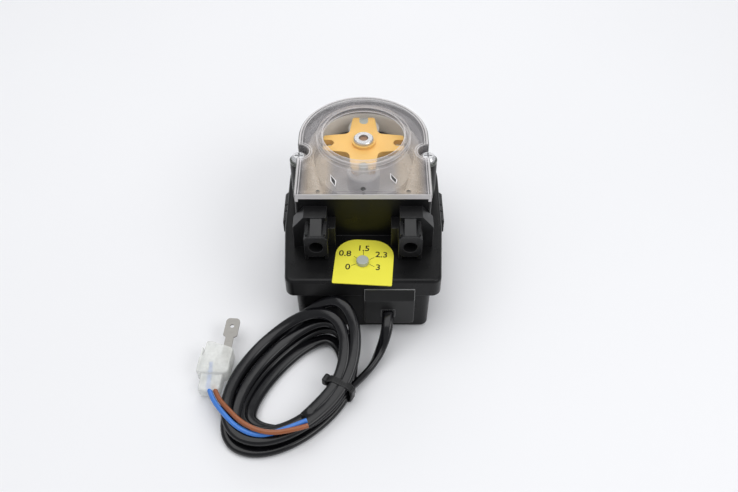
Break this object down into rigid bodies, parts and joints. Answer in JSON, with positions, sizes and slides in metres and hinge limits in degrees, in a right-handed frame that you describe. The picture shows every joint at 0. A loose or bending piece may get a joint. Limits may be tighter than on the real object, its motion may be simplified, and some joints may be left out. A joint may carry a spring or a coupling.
{
  "type": "peristaltic dosing pump",
  "caption": "Compact peristaltic dosing pump with a clear-covered roller head, a dial, two hose sockets and a coiled mains lead ending in a wire connector.",
  "frame": {"origin": "on the surface the pump lies on, under the middle of its housing", "axes": "+Z out of the pump's front through the head cover, +Y towards the round end of the head, -Y towards the hose sockets"},
  "size_m": [0.1103, 0.1694, 0.0618],
  "materials": {
    "black_plastic": "satin moulded ABS",
    "dark_plastic": "satin moulded",
    "clear_cover": "clear polycarbonate, lightly frosted outside its window",
    "bright_steel": "zinc-plated",
    "plain_steel": "plain",
    "orange_plastic": "satin acetal",
    "white_plastic": "satin",
    "grey_plastic": "satin",
    "bronze_shaft": "turned",
    "brass_bush": "turned",
    "tan_tube": "satin elastomer",
    "yellow_label": "printed film",
    "blue_trimmer": "moulded",
    "green_board": "solder mask",
    "green_terminal": "moulded",
    "yellow_capacitor": "moulded",
    "black_cord": "satin PVC",
    "blue_wire": "PVC",
    "brown_wire": "PVC",
    "nylon": "natural nylon"
  },
  "bodies": {
    "housing": {"base_case": "black_plastic", "front_housing": "black_plastic", "head_cover": "clear_cover", "cover_screws": "bright_steel", "case_screws": "bright_steel", "shaft_bush": "brass_bush", "pump_tube": "tan_tube", "hose_connector_left": "dark_plastic", "hose_connector_right": "dark_plastic", "dial_label": "yellow_label", "trimmer": "blue_trimmer", "control_board": "green_board", "board_screws": "bright_steel", "terminal_block": "green_terminal", "capacitor": "yellow_capacitor", "gear_case": "white_plastic", "gear_plate": "plain_steel", "motor_screws": "bright_steel", "motor_can": "plain_steel", "idler_pin": "bright_steel", "terminal_hood": "black_plastic", "cable_collar": "dark_plastic", "mains_lead": "black_cord", "lead_coil": "black_cord", "cable_tie": "dark_plastic", "blue_wire": "blue_wire", "brown_wire": "brown_wire", "connector_housing": "nylon", "tab_terminal": "plain_steel"},
    "rotor": {"rotor_carrier": "orange_plastic", "rotor_disc": "white_plastic", "roller_pin_upper": "grey_plastic", "roller_pin_lower": "grey_plastic", "retaining_ring": "bright_steel", "output_shaft": "bronze_shaft", "output_wheel": "white_plastic"},
    "upper_roller": {"roller_upper": "white_plastic"},
    "lower_roller": {"roller_lower": "white_plastic"},
    "idler": {"idler_gear": "white_plastic"},
    "motor_rotor": {"motor_pinion": "brass_bush"},
    "dial": {"dial_knob": "grey_plastic"}
  },
  "joints": [
    {"name": "rotor_spin", "type": "hinge", "parent": "housing", "child": "rotor", "pos_m": [0, 0.0168, 0.054], "axis": [0, 0, 1], "continuous": true},
    {"name": "upper_roller_spin", "type": "hinge", "parent": "rotor", "child": "upper_roller", "pos_m": [0, 0.0329, 0.047], "axis": [0, 0, 1], "continuous": true},
    {"name": "lower_roller_spin", "type": "hinge", "parent": "rotor", "child": "lower_roller", "pos_m": [0, 0.0007, 0.047], "axis": [0, 0, 1], "continuous": true},
    {"name": "idler_spin", "type": "hinge", "parent": "housing", "child": "idler", "pos_m": [0, 0, 0.021], "axis": [0, 0, 1], "continuous": true},
    {"name": "motor_spin", "type": "hinge", "parent": "housing", "child": "motor_rotor", "pos_m": [0.00659, 0.01414, 0.019], "axis": [0, 0, 1], "continuous": true},
    {"name": "dial_turn", "type": "hinge", "parent": "housing", "child": "dial", "pos_m": [-0.0003, -0.0398, 0.0357], "axis": [0, 0, 1], "range_deg": [-120, 120]}
  ],
  "couplings": [
    {"joint": "upper_roller_spin", "follows": "rotor_spin", "ratio": -3.1467},
    {"joint": "lower_roller_spin", "follows": "rotor_spin", "ratio": -3.1467},
    {"joint": "idler_spin", "follows": "rotor_spin", "ratio": -3.6667},
    {"joint": "motor_spin", "follows": "rotor_spin", "ratio": 12.222}
  ]
}
